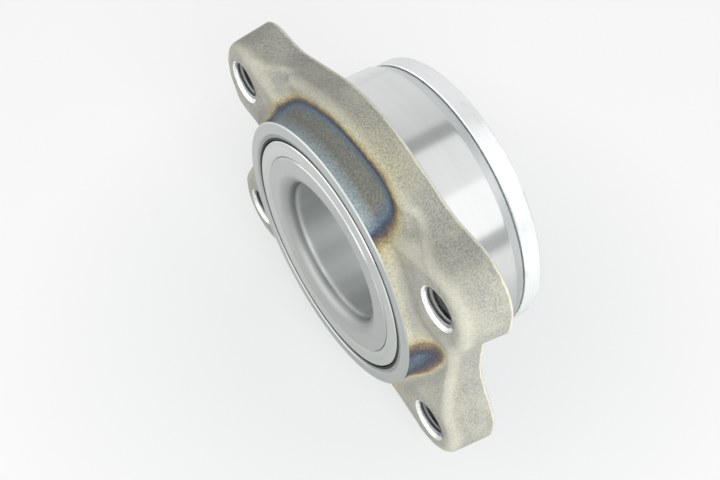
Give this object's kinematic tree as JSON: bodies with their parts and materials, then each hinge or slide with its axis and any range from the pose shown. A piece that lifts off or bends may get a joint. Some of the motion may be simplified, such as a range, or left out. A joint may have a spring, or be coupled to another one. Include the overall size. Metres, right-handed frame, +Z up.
{
  "type": "flanged wheel hub bearing unit",
  "caption": "Flanged double-row ball bearing unit for a wheel hub: forged outer ring with threaded ears and a pilot, sealed inner rings with a plain bore.",
  "frame": {"origin": "on the bearing axis, in the plane of the flange's mounting face", "axes": "+Y along the bearing axis, inboard, the way the pilot points; +X along the long side of the bolt rectangle; +Z up"},
  "size_m": [0.1268, 0.0466, 0.1084],
  "materials": {
    "forged_steel": "shot-blasted forging, heat tint beside the collar, turned and ground running faces",
    "ring_steel": "ground bearing steel",
    "ball_steel": "lapped bearing steel",
    "cage_nylon": "glass-filled moulded nylon",
    "case_steel": "drawn steel, grey coated",
    "seal_rubber": "moulded nitrile rubber",
    "slinger_steel": "drawn stainless steel",
    "encoder_rubber": "ferrite-filled rubber",
    "zinc_plate": "bright zinc plate on drawn steel",
    "spring_steel": "spring steel strip"
  },
  "bodies": {
    "outer": {"outer_ring": "forged_steel", "rear_cap": "zinc_plate", "outboard_seal_case": "case_steel", "outboard_seal_lip": "seal_rubber", "inboard_seal_case": "case_steel", "inboard_seal_lip": "seal_rubber"},
    "inner": {"outboard_inner_ring": "ring_steel", "inboard_inner_ring": "ring_steel", "ring_clip": "spring_steel", "outboard_slinger": "slinger_steel", "inboard_slinger": "slinger_steel", "encoder_ring": "encoder_rubber"},
    "outboard_row": {"outboard_cage": "cage_nylon", "outboard_ball_01": "ball_steel", "outboard_ball_02": "ball_steel", "outboard_ball_03": "ball_steel", "outboard_ball_04": "ball_steel", "outboard_ball_05": "ball_steel", "outboard_ball_06": "ball_steel", "outboard_ball_07": "ball_steel", "outboard_ball_08": "ball_steel", "outboard_ball_09": "ball_steel", "outboard_ball_10": "ball_steel", "outboard_ball_11": "ball_steel", "outboard_ball_12": "ball_steel", "outboard_ball_13": "ball_steel", "outboard_ball_14": "ball_steel", "outboard_ball_15": "ball_steel"},
    "inboard_row": {"inboard_cage": "cage_nylon", "inboard_ball_01": "ball_steel", "inboard_ball_02": "ball_steel", "inboard_ball_03": "ball_steel", "inboard_ball_04": "ball_steel", "inboard_ball_05": "ball_steel", "inboard_ball_06": "ball_steel", "inboard_ball_07": "ball_steel", "inboard_ball_08": "ball_steel", "inboard_ball_09": "ball_steel", "inboard_ball_10": "ball_steel", "inboard_ball_11": "ball_steel", "inboard_ball_12": "ball_steel", "inboard_ball_13": "ball_steel", "inboard_ball_14": "ball_steel", "inboard_ball_15": "ball_steel"}
  },
  "joints": [
    {"name": "inner_spin", "type": "hinge", "parent": "outer", "child": "inner", "pos_m": [0, 0, 0], "axis": [0, 1, 0], "continuous": true},
    {"name": "outboard_row_spin", "type": "hinge", "parent": "outer", "child": "outboard_row", "pos_m": [0, 0, 0], "axis": [0, 1, 0], "continuous": true},
    {"name": "inboard_row_spin", "type": "hinge", "parent": "outer", "child": "inboard_row", "pos_m": [0, 0, 0], "axis": [0, 1, 0], "continuous": true}
  ],
  "couplings": [
    {"joint": "outboard_row_spin", "follows": "inner_spin", "ratio": 0.4352},
    {"joint": "inboard_row_spin", "follows": "inner_spin", "ratio": 0.4352}
  ]
}
